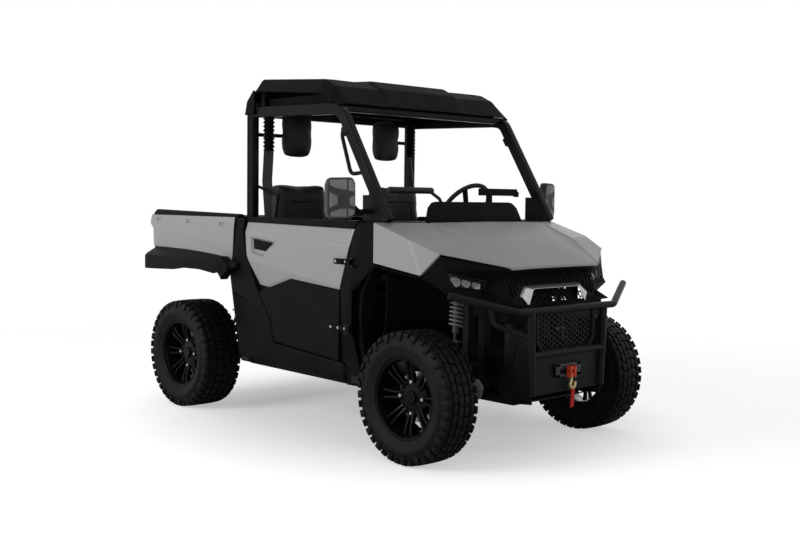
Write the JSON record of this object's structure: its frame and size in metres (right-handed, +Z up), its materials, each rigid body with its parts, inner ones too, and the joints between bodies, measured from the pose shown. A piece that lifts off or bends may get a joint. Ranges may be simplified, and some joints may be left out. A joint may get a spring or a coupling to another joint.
{
  "type": "side by side utility vehicle",
  "caption": "Electric side by side utility vehicle with two seats, half doors, a caged cab under a roof, a tilting cargo bed with a tailgate, a front bumper and a winch.",
  "frame": {"origin": "on the floor, under the middle of the bounding box", "axes": "+X forward, +Y to the vehicle's left, +Z up"},
  "size_m": [2.932, 1.81, 1.98],
  "materials": {
    "frame_steel": "satin black paint",
    "battery_case": "moulded case",
    "cast_case": "cast, painted dark",
    "spring_steel": "grey painted spring",
    "black_plastic": "grained black moulding",
    "cage_paint": "satin black powder coat",
    "roof_plastic": "textured black moulding",
    "grey_paint": "metallic grey, clear coated",
    "silver_trim": "satin silver",
    "lamp_lens": "clear lens over dark reflectors",
    "bumper_paint": "textured dark grey powder coat",
    "red_web": "woven strap on a steel hook",
    "seat_vinyl": "black vinyl, sewn",
    "belt_web": "woven black webbing",
    "mirror_shell": "dark grey moulding",
    "lamp_red": "red lens",
    "rim_paint": "gloss black alloy",
    "tyre": "black rubber"
  },
  "bodies": {
    "chassis": {"chassis_frame": "frame_steel", "skid_plate": "frame_steel", "battery": "battery_case", "drivetrain": "cast_case", "suspension_arms": "frame_steel", "dampers": "spring_steel", "hitch_receiver": "frame_steel", "cab_tub": "black_plastic", "roll_cage": "cage_paint", "roof": "roof_plastic", "rocker_panels": "black_plastic", "quarter_panels": "black_plastic", "front_fenders": "grey_paint", "cowl": "black_plastic", "grab_bar": "black_plastic", "instrument_display": "black_plastic", "front_fascia": "black_plastic", "grille_trim": "silver_trim", "headlights": "lamp_lens", "bumper": "bumper_paint", "winch": "cast_case", "tow_hook": "red_web", "seat_cushions": "seat_vinyl", "seatbacks": "seat_vinyl", "headrests": "seat_vinyl", "seat_belts": "belt_web", "mirrors": "mirror_shell"},
    "door_right": {"door_shell_right": "black_plastic", "door_skin_right": "grey_paint"},
    "door_left": {"door_shell_left": "black_plastic", "door_skin_left": "grey_paint"},
    "hood": {"hood": "grey_paint"},
    "bed": {"bed_tub": "black_plastic", "bed_side_panels": "grey_paint", "bed_flares": "black_plastic", "tail_lights": "lamp_red"},
    "tailgate": {"tailgate": "black_plastic"},
    "knuckle_right": {"knuckle_right": "cast_case"},
    "knuckle_left": {"knuckle_left": "cast_case"},
    "rack": {"steering_rack": "cast_case"},
    "steering_wheel": {"steering_wheel": "black_plastic"},
    "wheel_front_right": {"rim_front_right": "rim_paint", "tyre_front_right": "tyre"},
    "wheel_front_left": {"rim_front_left": "rim_paint", "tyre_front_left": "tyre"},
    "wheel_rear_right": {"rim_rear_right": "rim_paint", "tyre_rear_right": "tyre"},
    "wheel_rear_left": {"rim_rear_left": "rim_paint", "tyre_rear_left": "tyre"}
  },
  "joints": [
    {"name": "steer_right", "type": "hinge", "parent": "chassis", "child": "knuckle_right", "pos_m": [1.025, -0.59, 0.33], "axis": [0, 0, 1], "range_deg": [-28, 28]},
    {"name": "steer_left", "type": "hinge", "parent": "chassis", "child": "knuckle_left", "pos_m": [1.025, 0.59, 0.33], "axis": [0, 0, 1], "range_deg": [-28, 28]},
    {"name": "steering_wheel_turn", "type": "hinge", "parent": "chassis", "child": "steering_wheel", "pos_m": [0.358, 0.35, 1.236], "axis": [-0.8192, 0, 0.5736], "range_deg": [-252, 252]},
    {"name": "rack_slide", "type": "slide", "parent": "chassis", "child": "rack", "axis": [0, 1, 0], "range_m": [-0.055, 0.055]},
    {"name": "spin_front_right", "type": "hinge", "parent": "knuckle_right", "child": "wheel_front_right", "pos_m": [1.025, -0.667, 0.33], "axis": [0, 1, 0], "continuous": true},
    {"name": "spin_front_left", "type": "hinge", "parent": "knuckle_left", "child": "wheel_front_left", "pos_m": [1.025, 0.667, 0.33], "axis": [0, 1, 0], "continuous": true},
    {"name": "spin_rear_right", "type": "hinge", "parent": "chassis", "child": "wheel_rear_right", "pos_m": [-0.965, -0.68, 0.33], "axis": [0, 1, 0], "continuous": true},
    {"name": "spin_rear_left", "type": "hinge", "parent": "chassis", "child": "wheel_rear_left", "pos_m": [-0.965, 0.68, 0.33], "axis": [0, 1, 0], "continuous": true},
    {"name": "door_right_hinge", "type": "hinge", "parent": "chassis", "child": "door_right", "pos_m": [0.567, -0.717, 0.8], "axis": [0, 0, 1], "range_deg": [0, 65]},
    {"name": "door_left_hinge", "type": "hinge", "parent": "chassis", "child": "door_left", "pos_m": [0.567, 0.717, 0.8], "axis": [0, 0, -1], "range_deg": [0, 65]},
    {"name": "hood_hinge", "type": "hinge", "parent": "chassis", "child": "hood", "pos_m": [0.861, 0, 1.166], "axis": [0, -1, 0], "range_deg": [0, 50]},
    {"name": "bed_tilt", "type": "hinge", "parent": "chassis", "child": "bed", "pos_m": [-1.25, 0, 0.8], "axis": [0, -1, 0], "range_deg": [0, 45]},
    {"name": "tailgate_hinge", "type": "hinge", "parent": "bed", "child": "tailgate", "pos_m": [-1.444, 0, 0.876], "axis": [0, -1, 0], "range_deg": [0, 90]}
  ],
  "couplings": [
    {"joint": "steer_left", "follows": "steer_right", "ratio": 1},
    {"joint": "rack_slide", "follows": "steer_right", "m_per_rad": -0.11},
    {"joint": "steering_wheel_turn", "follows": "steer_right", "ratio": 9}
  ]
}
